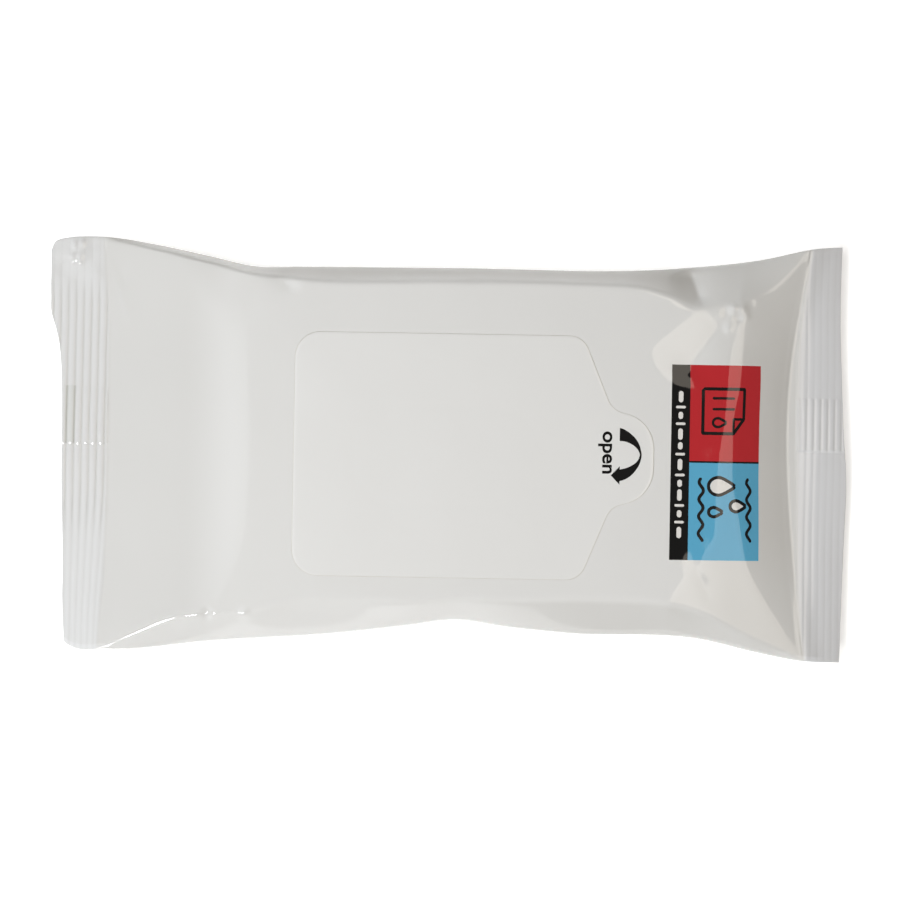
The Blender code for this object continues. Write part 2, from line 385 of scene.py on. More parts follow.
def left_ribs(across, y, fin, drift):
    """Phase, depth, painted groove shade and groove width of the left ribs. They crowd and soften
    towards the near corner, fade in the crumpled far one, and their grooves are darker still in the
    register mark."""
    first, last = FIN_SPAN["left"]
    crowd = 1 + 0.22 * ease(-(y + 6.0) / 34.0)
    phase = ((across + 75.5) * crowd - 1.0 + drift * 0.6) / LEFT_PITCH
    soft = ease((-y - 8.0) / 12.0)
    firm = (1 - 0.85 * ease((y - 26.0) / 7.0)) * (1 - 0.6 * soft)
    marked = ((y > first - 0.2) & (y < last) & (across < MARK_FROM)).astype(float)
    # The third value is painted shade in the grooves, and it is darker still in the register mark's
    # grooves.
    return phase, 0.13 * (1 + 0.3 * fin) * firm, 0.22 * firm + 0.30 * marked, 0.20 + 0.18 * soft


def right_ribs(across, y, fin, drift):
    """The same for the right ribs, which are shallow outside the fin."""
    phase = (77.9 - across + drift) / RIGHT_PITCH
    depth = 0.02 + 0.05 * fin + 0.015 * ease((-y - 8.0) / 12.0)
    # The third value is painted shade in the grooves, with more of it within the fin.
    return phase, depth, 0.03 + 0.10 * fin, 0.26


def ribs(across, s, length, y, left):
    """Height of the crimp, and how much shade is painted into its grooves: wide ribs with narrow
    grooves between them, at distance s from the root of a band of this length."""
    first, last = FIN_SPAN["left" if left else "right"]
    fin = ease((y - first + FIN_RAMP) / 0.6) * ease((last - y) / 0.6)
    drift = 0.25 * soft_noise(y, 0 * y + (3.0 if left else 9.0), 15.0, 8)
    pattern, pitch = (left_ribs, LEFT_PITCH) if left else (right_ribs, RIGHT_PITCH)
    phase, depth, painted_groove_shade_and_mark, groove = pattern(across, y, fin, drift)
    off = (phase - np.round(phase)) * pitch
    line = np.exp(-((off / groove) ** 2))
    wave = 0.18 * np.cos(2 * math.pi * phase + math.pi) - line
    inside = ease(s / 0.5) * ease((length - s) / 0.3)
    return depth * wave * inside, painted_groove_shade_and_mark * line * inside


print("rib pitch, left and right:", LEFT_PITCH, RIGHT_PITCH, "mm")

# %% The fin's step, and how a band hangs
FIN_STEP = 0.29           # what the fin's extra layers add


def fin_lift(y, side):
    """The extra layers of the folded fin: a plain ramp at its fold and a soft edge at its cut."""
    first, last = FIN_SPAN[side]
    return FIN_STEP * np.clip((y - first + FIN_RAMP) / FIN_RAMP, 0, 1) * ease((last - y) / 1.5)


def seal_band(share, y, left):
    """Distance out from the root and drop below it, at each share of the band's length. Both come
    from the band's reach seen from above and the share of its length that is lost to its lean."""
    if left:
        reach, lean = left_root(y) - through(LEFT_TIP, y), through(LEFT_LEAN, y)
        bend = ease(share / 0.3)
    else:
        reach, lean = through(RIGHT_TIP, y) - through(RIGHT_START, y), through(RIGHT_LEAN, y)
        bend = 0.25 * ease(share / 0.2) + 0.75 * share
    length = reach / (1.0 - lean)
    bend = bend / ((bend[1:, 0] + bend[:-1, 0]) / 2 * np.diff(share[:, 0])).sum()
    level = np.clip(1.0 - lean * bend, 0.2, 1.0)
    step = np.diff(share, axis=0) * length[1:]
    middle = (level[1:] + level[:-1]) / 2
    zero = np.zeros((1, y.shape[1]))
    out = np.concatenate([zero, np.cumsum(step * middle, axis=0)])
    down = np.concatenate([zero, np.cumsum(step * np.sqrt(1 - middle**2), axis=0)])
    return out, down, share * length, length


print("height of the fin's step:", fin_lift(np.array([5.0]), "left"), "mm")

# %% [markdown]
# ## The film as one grid
#
# The surface is a grid of stations along the pack and columns across it, once for the upper side
# and once for the lower. Stations stand a sixth of a millimetre apart in the seals, where the ribs
# need them, and a millimetre apart over the face. Columns crowd towards the silhouette, where the
# film turns under. Each vertex also keeps its place on the flat film, as distance measured along
# the surface, in a UV map: that is where the printer put the colours before the film was folded.

# %% Stations and columns
HALF_REST = 35.2          # half width of the grid before it is drawn in or stretched


def spaced(start, end, step):
    """Stations from start to end, as near to this step as they divide evenly."""
    return np.linspace(start, end, max(2, int(round(abs(end - start) / step)) + 1))


seal_share = spaced(0.0, 10.4, 0.165) / 10.4
body_rows = np.unique(np.round(np.concatenate([
    spaced(LEFT_ROOT, -36.0, 0.5), spaced(-36.0, 38.0, 1.1), spaced(38.0, RIGHT_ROOT, 0.32),
]), 4))
near_rim = np.array([
    0, 0.05, 0.14, 0.28, 0.46, 0.7, 1.0, 1.35, 1.75, 2.2,
    2.7, 3.2, 3.7, 4.2, 4.7, 5.2, 5.7, 6.2, 6.7,
])
inner = np.concatenate([spaced(-28.0, 19.5, 0.85), spaced(20.0, 29.6, 0.34)])
# Extra columns at the fin's folded edge, where the ramp starts and ends, and at its cut edge
fold_columns = np.array([-0.57, -0.45, -0.38, -0.07, 0.0, 0.12])
lips = [fold_columns + first for first, _ in FIN_SPAN.values()] + [[10.7, 11.0, 11.2, 11.35]]
columns = np.concatenate([near_rim - HALF_REST, inner, *lips, HALF_REST - near_rim])
columns = np.unique(np.round(columns, 3))
print("stations:", len(body_rows), "and", len(seal_share), "in each band; columns:", len(columns))

# %% Carry the grid over the pack
def drawn_in(x, y):
    """Column positions across the pack: they keep their places in the middle 32 mm and are
    stretched or squeezed beyond it, so that the outermost one lies on the silhouette."""
    outer = ease((np.abs(y) - 16.0) / (HALF_REST - 16.0))
    return y * (1 + (half_width(x, y) / HALF_REST - 1) * outer)


def body_grid():
    """x and y of the filled part's grid. Its rows bend to follow both roots and its columns spread
    to the silhouette, and as each moves the other they are worked out three times over."""
    x, y = np.meshgrid(body_rows, columns, indexing="ij")
    near_left = ease((-50.0 - body_rows) / 16.3)[:, None]
    near_right = ease((body_rows - 56.0) / 11.6)[:, None]
    for _ in range(3):
        x = body_rows[:, None] + (left_root(y) - LEFT_ROOT) * near_left
        x = x + (through(RIGHT_START, y) - RIGHT_ROOT) * near_right
        y = drawn_in(x, columns[None, :] + 0 * x)
    return x, y


def crumple(across, side, s, left):
    """A band's slow waves. The far left corner is also dented, and kinked up along its last few
    millimetres."""
    wave = 0.12 * soft_noise(across, side, 12.0, 21) * ease(s / 4.0)
    if left:
        wave = wave + sum(dimple(across, side, *d) for d in CORNER_DENTS) * ease(s / 1.5)
        kink = 0.34 * ease((side - 34.8) / 1.3) * ease((s - 2.5) / 3.0)
        wave = wave + kink - 0.10 * ease((side - 37.2) / 1.5)
    return wave


def band_grid(root_x, root_y, root_top, root_low, left):
    """One band, row by row out from its root: x, y, upper and lower height, how far the layers are
    pressed together, and the height of the ribs with the shade painted into their grooves."""
    share = seal_share[:, None] + 0 * columns[None, :]
    out, down, s, length = seal_band(share, root_y[None, :] + 0 * share, left)
    across = root_x + (-out if left else out)
    side = drawn_in(across, columns[None, :] + 0 * across)
    wave = crumple(across, side, s, left)
    press, painted_groove_shade_and_mark = ribs(across, s, length, side, left)
    return across, side, root_top - down + wave, root_low - down + wave, ease(s / 0.8), press, painted_groove_shade_and_mark


print("half widths of the outermost column:", np.round(body_grid()[1][::60, -1], 1), "mm")

# %% [markdown]
# ## Where the film looks grey
# White film this thin is not quite opaque. Over the white stack it looks brightest, and where only
# air is behind it, in the slopes and along the shoulders, it looks a little greyer. Light alone
# would not show that on an opaque surface, so the amount is kept at each vertex for the material.
# The same amount also holds painted shade: the far shoulder, the steep right slope, the near
# shoulder and a spot at the far left corner of the stack are darkened in colour as shade would
# darken them. Light alone
# would not show that on an opaque surface, so the amount is kept at each vertex for the material.

# %% Greys of the film and painted shade
def air_greys_and_painted_shade(x, y):
    """How grey the film is made where no stack backs it: along the far shoulder, at the far left
    corner of the stack, in the slopes at both ends and along the near shoulder. Besides the thin
    film's own grey this is painted shade, most of all along the far shoulder and in the corner
    spot."""
    # Painted shade along the far shoulder, which faces away from the lights, together with the thin
    # film's grey.
    far_share = (half_width(x, y) - y) / through(FAR_FACET, x)
    far = ease(1.25 - far_share) * ease((x + 72.0) / 8.0) * ease((50.0 - x) / 6.0)
    far = (0.42 - 0.24 * ease((-46.0 - x) / 12.0)) * np.where(y > 0, far, 0.0)
    # A spot of painted shade at the far left corner of the stack.
    corner = 0.12 * np.exp(-(((x + 33.0) / 2.6) ** 2) - ((y - 33.3) / 1.2) ** 2)
    near_share = (half_width(x, y) + y) / through(NEAR_FACET, x)
    near_facet = np.where(y < 0, 1 - ease(near_share / 0.2 - 4.3), 0.0)
    left = 0.20 - 0.07 * ease((left_root(y) + 1.0 - x) / 2.0)
    left = left * ease((-40.0 - x) / 12.0) * (1 - 0.7 * near_facet)
    # The steep right slope, which faces away from the lights, is darkened partly as painted shade.
    right = 0.16 * ease((x - 46.0) / 10.0) * (1 - ease((x - right_foot(y) - 2.0) / 3.0))
    right = right * (1 - near_facet)
    near = near_facet * 0.20 * ease((x + 20.0) / 50.0) * ease((68.0 - x) / 6.0)
    return far + corner + left + right + near


print("greys along the middle:", np.round(air_greys_and_painted_shade(sample, 0 * sample), 2))

# %% Join the body and the bands
LEFT_BAND_DOUBLED = 0.35  # the left band shows its second layer less than the right one


def place_on_flat(upper):
    """Distance of each point from x = 0, measured along the surface: where it lay on flat film."""
    steps = np.linalg.norm(np.diff(upper[:, :, ::2], axis=0), axis=-1)
    flat = np.concatenate([np.zeros((1, len(columns))), np.cumsum(steps, axis=0)])
    middle = upper[:, len(columns) // 2, 0]
    past = int(np.searchsorted(middle, 0.0))        # the first row beyond x = 0
    back = middle[past] / (middle[past] - middle[past - 1])
    return flat - (flat[past] * (1 - back) + flat[past - 1] * back)


def film_grid():
    """Points of the upper and lower film and their places on the flat film, in millimetres, with
    how much grey and painted shade is laid on the film at each point, and how doubled it is."""
    x, y = body_grid()
    top, low = top_height(x, y), under_height(x, y)
    left_band = band_grid(x[0], y[0], top[0], low[0], True)
    # The right band takes its starting heights from the left band's first row, not from the
    # body's last one. On the upper side they differ by 0.05 mm over most of the width.
    right_band = band_grid(x[-1], y[-1], left_band[2][1], left_band[3][1], False)
    body = (x, y, top, low, 0 * x, 0 * x, 0 * x)
    x, y, top, low, seal, press, painted_groove_shade_and_mark = (
        np.concatenate([outward[:0:-1], middle, onward[1:]])
        for outward, middle, onward in zip(left_band, body, right_band)
    )
    rim = np.sqrt(np.clip((half_width(x, y) - np.abs(y)) / 0.3, 0.0, 1.0))
    rim[:, 0] = rim[:, -1] = 0.0
    fin = np.where(x < 0, fin_lift(y, "left"), fin_lift(y, "right"))
    top = top + (SEAL_THICK / 2 + 0.6 * fin * seal + press) * rim
    low = low + (press - (SEAL_THICK / 2 + 0.4 * fin) * seal) * rim
    low = np.minimum(low, top - 0.25 * rim)
    top, low = np.maximum(top, 0.26 * rim + 0.02), np.maximum(low, 0.0)
    upper, lower = np.stack([x, y, top], -1), np.stack([x, y, low], -1)
    lower[:, [0, -1]] = upper[:, [0, -1]]
    doubled = seal * np.where(x > 0, 1.0, LEFT_BAND_DOUBLED)
    # The ribs' painted groove shade is added to the grey over air and its painted shade.
    return upper, lower, np.stack([place_on_flat(upper), y], -1), painted_groove_shade_and_mark + air_greys_and_painted_shade(x, y), doubled


upper, lower, flat_film, grey_and_painted_shade, doubled = film_grid()
heights = [round(float(lower[..., 2].min()), 3), round(float(upper[..., 2].max()), 2)]
print("film grid:", upper.shape[:2], "lowest and highest", heights, "mm")
print("length and width:", np.round(np.ptp(upper[..., :2], axis=(0, 1)), 1), "mm")

# %% [markdown]
# ## From grids to meshes
#
# A mesh is a list of points and a list of faces that number them. One function turns arrays in
# millimetres into an object at the origin, with its UV map and tones written by foreach_set. The
# two sides of the film share their outermost columns, and both cut ends get a row of faces, so the
# pouch is closed.

# %% Turn grids into meshes
def mesh_object(name, points, faces, materials=(), slots=None, uv=None, tones=None):
    """An object at the origin from points in millimetres and quads or triangles, shaded smooth."""
    mesh = bpy.data.meshes.new(name)
    mesh.from_pydata((points * MM).tolist(), [], faces)
    if uv is not None:
        layer = mesh.uv_layers.new(name="flat_film")
        corner = np.empty(len(mesh.loops), dtype=np.int32)
        mesh.loops.foreach_get("vertex_index", corner)
        layer.data.foreach_set("uv", (uv[corner] * MM).astype(np.float32).ravel())
    for tone, values in (tones or {}).items():
        attribute = mesh.attributes.new(tone, "FLOAT", "POINT")
        attribute.data.foreach_set("value", values.astype(np.float32))
    for mat in materials:
        mesh.materials.append(mat)
    if slots is not None:
        mesh.polygons.foreach_set("material_index", np.asarray(slots, dtype=np.int32))
    mesh.polygons.foreach_set("use_smooth", np.ones(len(mesh.polygons), dtype=bool))
    mesh.validate()
    obj = bpy.data.objects.new(name, mesh)
    bpy.context.scene.collection.objects.link(obj)
    return obj


def grid_quads(index, flip=False):
    """Quads between neighbouring rows and columns of a grid of vertex numbers."""
    a, b, c, d = index[:-1, :-1], index[1:, :-1], index[1:, 1:], index[:-1, 1:]
    quads = np.stack([a, d, c, b] if flip else [a, b, c, d], -1)
    return quads.reshape(-1, 4)


def closed_film(upper, lower):
    """Faces of the upper side, the lower side and both cut ends. The two sides share the
    silhouette's vertices."""
    n, m = upper.shape[:2]
    top_id = np.arange(n * m).reshape(n, m)
    low_id = np.full((n, m), -1)
    low_id[:, 1:-1] = n * m + np.arange(n * (m - 2)).reshape(n, m - 2)
    low_id[:, 0], low_id[:, -1] = top_id[:, 0], top_id[:, -1]
    ends = [np.stack([low_id[0], top_id[0]]), np.stack([top_id[-1], low_id[-1]])]
    top_faces, low_faces = grid_quads(top_id), grid_quads(low_id, flip=True)
    end_faces = np.concatenate([grid_quads(e) for e in ends])
    return top_faces, low_faces, end_faces


def without_repeats(quads):
    """Quads as lists, with a corner that repeats its neighbour left out."""
    return [list(dict.fromkeys(q)) for q in quads.tolist()]


# %% [markdown]
# ## Materials
#
# Real flow-pack film is a laminate: a clear polyester face over a white polyethylene, reverse
# printed, so the ink lies under the gloss. To the eye that is a slightly warm white under a smooth
# clear coat that mirrors the lights sharply, broken only by the faint waviness of the film. The
# label is the same kind of film with a coating that is a little whiter and softer.
#
# A material here is a shader and a few nodes that feed it. One function adds any kind of node and
# fills its inputs, from a value or from another node.

# %% Colours, nodes and the film
def linear(hex_colour):
    """A colour from its sRGB hex value, in the linear values that shaders use."""
    srgb = np.array([int(hex_colour[i:i + 2], 16) for i in (0, 2, 4)]) / 255
    value = np.where(srgb <= 0.04045, srgb / 12.92, ((srgb + 0.055) / 1.055) ** 2.4)
    return (*value.tolist(), 1.0)


def add_node(tree, kind, inputs=(), **settings):
    """One node with its settings. Each input is a (name or number, value) pair, and a value that
    is another node's output is linked to it instead of set."""
    node = tree.nodes.new(kind)
    for name, value in settings.items():
        setattr(node, name, value)
    for key, value in inputs:
        if isinstance(value, bpy.types.NodeSocket):
            tree.links.new(value, node.inputs[key])
        else:
            node.inputs[key].default_value = value
    return node


def new_material(name):
    mat = bpy.data.materials.new(name)
    mat.use_nodes = True
    tree = mat.node_tree
    return mat, tree, tree.nodes["Principled BSDF"]


GRAIN_MM = 0.0012         # height of the fine grain


def film_surface_nodes(tree, shader, gloss, waviness_mm):
    """What all the films share: roughness that wanders a little over 20 mm, and two bumps, the
    film's waviness at 3 mm and its fine grain at 0.35 mm."""
    place = add_node(tree, "ShaderNodeTexCoord").outputs["Object"]
    haze = add_node(
        tree, "ShaderNodeTexNoise", [("Scale", 50.0), ("Detail", 2.0), ("Vector", place)]
    )
    rough = add_node(
        tree, "ShaderNodeMapRange",
        [("To Min", gloss * 0.8), ("To Max", gloss * 1.25), ("Value", haze.outputs["Fac"])],
    )
    tree.links.new(rough.outputs["Result"], shader.inputs["Roughness"])
    normal = []
    for scale, height_mm in ((330.0, waviness_mm), (2900.0, GRAIN_MM)):
        noise = add_node(
            tree, "ShaderNodeTexNoise", [("Scale", scale), ("Detail", 1.0), ("Vector", place)]
        )
        bump = add_node(
            tree, "ShaderNodeBump",
            [("Strength", 1.0), ("Distance", height_mm * MM), ("Height", noise.outputs["Fac"])]
            + normal,
        )
        normal = [("Normal", bump.outputs["Normal"])]
    tree.links.new(bump.outputs["Normal"], shader.inputs["Normal"])


# The second colour is what the film tends to over air, and also the colour that painted shade mixes
# towards.
WHITE, THIN_GREY_AND_SHADE = "D9D9D7", "908C83"       # film on white, and what it tends to over air
DOUBLED_WHITE = "DDDFE2"  # two layers pressed together in the bands look cooler
FILM_GLOSS = 0.035
FILM_WAVINESS = 0.010     # height of the waviness, in millimetres


def toned(tree, colour, tone, hex_colour):
    """The colour given, mixed towards another by one of the piece's own attributes."""
    amount = add_node(tree, "ShaderNodeAttribute", attribute_name=tone)
    inputs = [(0, amount.outputs["Fac"]), (6, colour), (7, linear(hex_colour))]
    return add_node(tree, "ShaderNodeMix", inputs, data_type="RGBA", label=tone).outputs[2]


back_film, tree, shader = new_material("white_polyester_polyethylene_laminate")
# The back film is mixed towards grey by the vertex amount that holds the thin film's grey and
# painted shade.
tree.links.new(toned(tree, linear(WHITE), "grey_and_painted_shade", THIN_GREY_AND_SHADE), shader.inputs["Base Color"])
shader.inputs["IOR"].default_value = 1.5
film_surface_nodes(tree, shader, FILM_GLOSS, FILM_WAVINESS)
print("made", back_film.name)

# %% [markdown]
# ## The film's print
#
# Rotary gravure lays flat fields of ink on the back of the clear layer. They could be painted on
# an image, but four rectangles are sharper as sums: each one is a test of where a point lay on the
# flat film, so the fields bend with the folds as real print does.

# %% The film's printed side
BAND, RED, BLUE = "080706", "B5252B", "58A4C6"
BLOCK_LEFT, BLOCK_RIGHT = 42.85, 60.75
BLOCK_LOW, BLOCK_HIGH = -20.65, 17.1
BAND_RIGHT = 46.45        # the dark band runs along the block's left side
FIELDS_MEET = -1.65       # the red field ends and the blue one starts here
MARK_GREY = "D6D8D6"      # the eye mark that the cutter reads, seen through the seal's layers
middle_column = len(columns) // 2
mark_span = np.interp(
    (-74.9, -72.9), upper[:, middle_column, 0], flat_film[:, middle_column, 0]
).tolist()


def between(tree, value, low, high):
    """1 where value lies between two limits in millimetres, 0 outside them."""
    over = add_node(tree, "ShaderNodeMath", [(0, value), (1, low * MM)], operation="GREATER_THAN")
    under = add_node(tree, "ShaderNodeMath", [(0, value), (1, high * MM)], operation="LESS_THAN")
    inputs = [(0, over.outputs[0]), (1, under.outputs[0])]
    return add_node(tree, "ShaderNodeMath", inputs, operation="MULTIPLY").outputs[0]


printed_film, tree, shader = new_material("reverse_printed_polyester_laminate")
shader.inputs["IOR"].default_value = 1.5
film_surface_nodes(tree, shader, FILM_GLOSS, FILM_WAVINESS)
flat_place = add_node(tree, "ShaderNodeUVMap", uv_map="flat_film")
split = add_node(tree, "ShaderNodeSeparateXYZ", [(0, flat_place.outputs["UV"])])
u, v = split.outputs["X"], split.outputs["Y"]


def printed_field(colour, hex_colour, span_u, span_v, label):
    """The colour so far, with a rectangle of one ink laid over it."""
    sides = [(0, between(tree, u, *span_u)), (1, between(tree, v, *span_v))]
    inside = add_node(tree, "ShaderNodeMath", sides, operation="MULTIPLY")
    inputs = [(0, inside.outputs[0]), (6, colour), (7, linear(hex_colour))]
    return add_node(tree, "ShaderNodeMix", inputs, data_type="RGBA", label=label).outputs[2]


colour = toned(tree, linear(WHITE), "doubled", DOUBLED_WHITE)
colour = printed_field(colour, MARK_GREY, mark_span, FIN_SPAN["left"], "register mark")
# Mixed towards grey by the thin film's grey and by painted shade in the grooves, on the shoulders
# and slopes.
colour = toned(tree, colour, "grey_and_painted_shade", THIN_GREY_AND_SHADE)
for name, hex_colour, span_u, span_v in (
    ("red", RED, (BLOCK_LEFT, BLOCK_RIGHT), (FIELDS_MEET, BLOCK_HIGH)),
    ("blue", BLUE, (BLOCK_LEFT, BLOCK_RIGHT), (BLOCK_LOW, FIELDS_MEET)),
    ("line", BAND, (BLOCK_LEFT, BLOCK_RIGHT), (FIELDS_MEET - 0.17, FIELDS_MEET + 0.17)),
    ("band", BAND, (BLOCK_LEFT, BAND_RIGHT), (BLOCK_LOW, BLOCK_HIGH)),
):
    colour = printed_field(colour, hex_colour, span_u, span_v, name)
tree.links.new(colour, shader.inputs["Base Color"])
print("made", printed_film.name, "with", len(tree.nodes), "nodes")

# %% Make the film piece
top_faces, low_faces, end_faces = closed_film(upper, lower)
points = np.concatenate([upper.reshape(-1, 3), lower[:, 1:-1].reshape(-1, 3)])
places = np.concatenate([flat_film.reshape(-1, 2), flat_film[:, 1:-1].reshape(-1, 2)])
# The grey amount holds the thin film's grey and painted shade.
tones = {
    name: np.concatenate([tone.ravel(), tone[:, 1:-1].ravel()])
    for name, tone in (("grey_and_painted_shade", grey_and_painted_shade), ("doubled", doubled))
}
faces = without_repeats(np.concatenate([top_faces, low_faces, end_faces]))
plain_from = len(top_faces)             # the faces before this one are printed
slots = (np.arange(len(faces)) >= plain_from).astype(int)
pouch = mesh_object("pouch_film", points, faces, (printed_film, back_film), slots, places, tones)
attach(pouch, "root")
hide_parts("film_pouch")
print("film triangles:", sum(len(f) - 2 for f in faces))

# %% [markdown]
# ## The reseal label
#
# The label is die-cut from its own film: a body with rounded corners, and a rounded tab that a
# thumb can lift. It lies on the pouch and follows every swelling of it, so its mesh is a set of
# rings, shrunk copies of the outline towards one inner point, dropped onto the film.

# %% Label outline
LABEL_AXIS_Y = -1.3
LABEL_CENTRE = (4.0, LABEL_AXIS_Y)
LABEL_CORNERS = ((-30.1, 23.6, 5.0), (25.6, 23.6, 4.0), (31.4, 9.4, 4.0), (39.6, 7.4, 7.0))


def resampled(line, step):
    """Points evenly spaced along a polyline."""
    line = np.asarray(line, float)
    length = np.concatenate([[0], np.cumsum(np.linalg.norm(np.diff(line, axis=0), axis=1))])
    at = np.linspace(0, length[-1], max(2, int(round(length[-1] / step)) + 1))
    return np.stack([np.interp(at, length, line[:, k]) for k in (0, 1)], -1)


def rounded_outline(corners, step=0.25):
    """A closed outline through (x, y, radius) corners: an arc that touches both sides at each one,
    then points evenly spaced along the whole line."""
    line = []
    for i, (x, y, radius) in enumerate(corners):
        here = np.array([x, y])
        back = np.array(corners[i - 1][:2]) - here
        on = np.array(corners[(i + 1) % len(corners)][:2]) - here
        back, on = back / np.linalg.norm(back), on / np.linalg.norm(on)
        half = math.acos(float(back @ on)) / 2
        centre = here + (back + on) / np.linalg.norm(back + on) * radius / math.sin(half)
        first, last = here + back * radius / math.tan(half), here + on * radius / math.tan(half)
        start = math.atan2(*(first - centre)[::-1])
        turn = (math.atan2(*(last - centre)[::-1]) - start + math.pi) % (2 * math.pi) - math.pi
        angle = start + turn * np.linspace(0, 1, 24)
        line.append(centre + radius * np.stack([np.cos(angle), np.sin(angle)], -1))
    line = np.concatenate(line)
    return resampled(np.concatenate([line, line[:1]]), step)[:-1]


mirrored = [(x, -y, r) for x, y, r in reversed(LABEL_CORNERS)]
corners = [(x, y + LABEL_AXIS_Y, r) for x, y, r in (*mirrored, *LABEL_CORNERS)][::-1]
label_line = rounded_outline(corners)
across, up = label_line.T
area = np.sum(across * np.roll(up, -1) - up * np.roll(across, -1)) / 2
label_line = label_line if area > 0 else label_line[::-1]
size = np.round(np.ptp(label_line, axis=0), 1)
print("label outline:", len(label_line), "points,", size, "mm,", round(abs(area) / 100, 1), "cm2")

# %% [markdown]
# ## A thin skin on a curved face
#
# A label could be pressed onto the film with a Shrinkwrap modifier, but its edge would then float
# or sink by chance. Here every point takes its height from the same formula as the film, plus the
# label's thickness. The rim slopes down to the film and the underside is sunk a little into it, so
# no gap shows and the skin is closed.

# %% Drop the label onto the film
LABEL_THICK = 0.05
RIM_LIFT = 0.006          # how far the foot of the rim stands off the film
SUNK = -0.06              # how deep the underside lies in the film


def on_film(x, y, lift):
    """Points on the film's upper surface, raised by lift."""
    return np.stack([x, y, top_height(x, y) + SEAL_THICK / 2 + lift], -1)


def draped_patch(outline, centre, thick, step=0.8, rim=0.16):
    """A thin closed solid on the film inside an anticlockwise outline. Its upper side is rings of
    the outline shrunk towards the centre. The first faces made are the rim's, and their number is
    returned too."""
    centre = np.array(centre)
    reach = np.linalg.norm(outline - centre, axis=1).max()
    inner = np.linspace(1 - step / reach, 0, int(reach / step))[:-1]
    share = np.concatenate([[1.0, 1.0 - rim / reach], inner])
    ring = centre + share[:, None, None] * (outline - centre)
    lift = np.full(share.shape, thick)
    lift[0] = RIM_LIFT
    n, m = ring.shape[:2]
    top = on_film(ring[..., 0], ring[..., 1], lift[:, None])
    under = on_film(ring[[0, -1], :, 0], ring[[0, -1], :, 1], SUNK)
    tips = [on_film(*centre[:, None], height) for height in (thick, SUNK)]
    points = np.concatenate([top.reshape(-1, 3), under.reshape(-1, 3), *tips])
    ids = np.arange((n + 2) * m).reshape(n + 2, m)
    ids = np.concatenate([ids, ids[:, :1]], 1)
    top_tip, low_tip = np.full(m, (n + 2) * m), np.full(m, (n + 2) * m + 1)
    tip = np.stack([ids[n - 1, :-1], ids[n - 1, 1:], top_tip, top_tip], -1)
    base = np.stack([ids[n + 1, 1:], ids[n + 1, :-1], low_tip, low_tip], -1)
    slope, wall = grid_quads(ids[:2], flip=True), grid_quads(ids[[0, n]])
    rings, floor_ring = grid_quads(ids[1:n], flip=True), grid_quads(ids[[n, n + 1]])
    quads = np.concatenate([slope, wall, rings, tip, floor_ring, base])
    return points, without_repeats(quads), 2 * m


print("film at the label's centre:", on_film(*np.array(LABEL_CENTRE)[:, None], 0).round(2), "mm")

# %% [markdown]
# ## The label's film
#
# The label's coating is a little whiter and softer than the pouch. Its cut edge is painted with a
# hair-thin darker line. This is painted shade for the cut face and the glue under it, which catch
# no light.

# %% Label film and the painted shade along its die-cut edge
label_film, tree, shader = new_material("clear_coated_polypropylene_label")
shader.inputs["IOR"].default_value = 1.49
shader.inputs["Base Color"].default_value = linear("DCDCDA")
film_surface_nodes(tree, shader, 0.11, 0.006)

# A darker colour on the rim faces: painted shade along the label's cut edge.
painted_edge_shade, tree, shader = new_material("label_edge_painted_shade")
shader.inputs["Base Color"].default_value = linear("CDCBC5")
film_surface_nodes(tree, shader, 0.30, 0.004)

label_points, label_faces, edge_faces = draped_patch(label_line, LABEL_CENTRE, LABEL_THICK)
label_slots = (np.arange(len(label_faces)) < edge_faces).astype(int)
label = mesh_object("label_skin", label_points, label_faces, (label_film, painted_edge_shade), label_slots)
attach(label, "root")
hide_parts("reseal_label")
print("label faces:", len(label_faces))

# %% [markdown]
# ## Printed marks
#
# The ink is drawn as a skin a hundredth of a millimetre proud of the film: each mark is a strip
# cut into short pieces that follow it. The label carries the word that says what the tab does, and
# an arrow that starts broad, narrows round its bend and ends in a head. The block of colour on the
# pouch carries plain shapes: a sheet with a turned corner and a drop on red, drops between waves on
# blue, and a row of small light tablets on the dark band.

# %% Strips of ink
INK = 0.012


def ruled(one, other, step=0.35):
    """A grid of points between two curves that are run through together."""
    count = int(max(len(one), len(other), 2))
    t = np.linspace(0, 1, count)
    one, other = (
        np.stack([np.interp(t, np.linspace(0, 1, len(c)), np.asarray(c)[:, k]) for k in (0, 1)], -1)
        for c in (one, other)
    )
    widest = np.linalg.norm(one - other, axis=1).max()
    share = np.linspace(0, 1, max(2, int(widest / step) + 2))
    return one[None] * (1 - share[:, None, None]) + other[None] * share[:, None, None]


def stroke(line, width):
    """A strip of this width along a polyline, narrowed to a half circle at both ends."""
    line = resampled(line, 0.12)
    along = np.gradient(line, axis=0)
    along = along / np.linalg.norm(along, axis=1, keepdims=True)
    length = np.concatenate([[0], np.cumsum(np.linalg.norm(np.diff(line, axis=0), axis=1))])
    radius = width / 2
    near_end = np.minimum(length, length[-1] - length)
    half = radius * np.sqrt(np.clip(1 - (1 - np.clip(near_end / radius, 0.02, 1)) ** 2, 0, 1))
    side = np.stack([-along[:, 1], along[:, 0]], -1) * half[:, None]
    return ruled(line + side, line - side)


def ink_faces(grids, place):
    """Points and faces of several strips, with place giving each (x, y) its point on the film."""
    points, faces, first = [], [], 0
    for grid in grids:
        flat = place(grid.reshape(-1, 2))
        index = first + np.arange(len(flat)).reshape(grid.shape[:2])
        quads = grid_quads(index)
        a, b, c = (flat[quads[:, k] - first][:, :2] for k in (0, 1, 2))
        turn = np.cross(b - a, c - a).sum() < 0
        points.append(flat)
        faces.append(quads[:, ::-1] if turn else quads)
        first += len(flat)
    return np.concatenate(points), np.concatenate(faces)


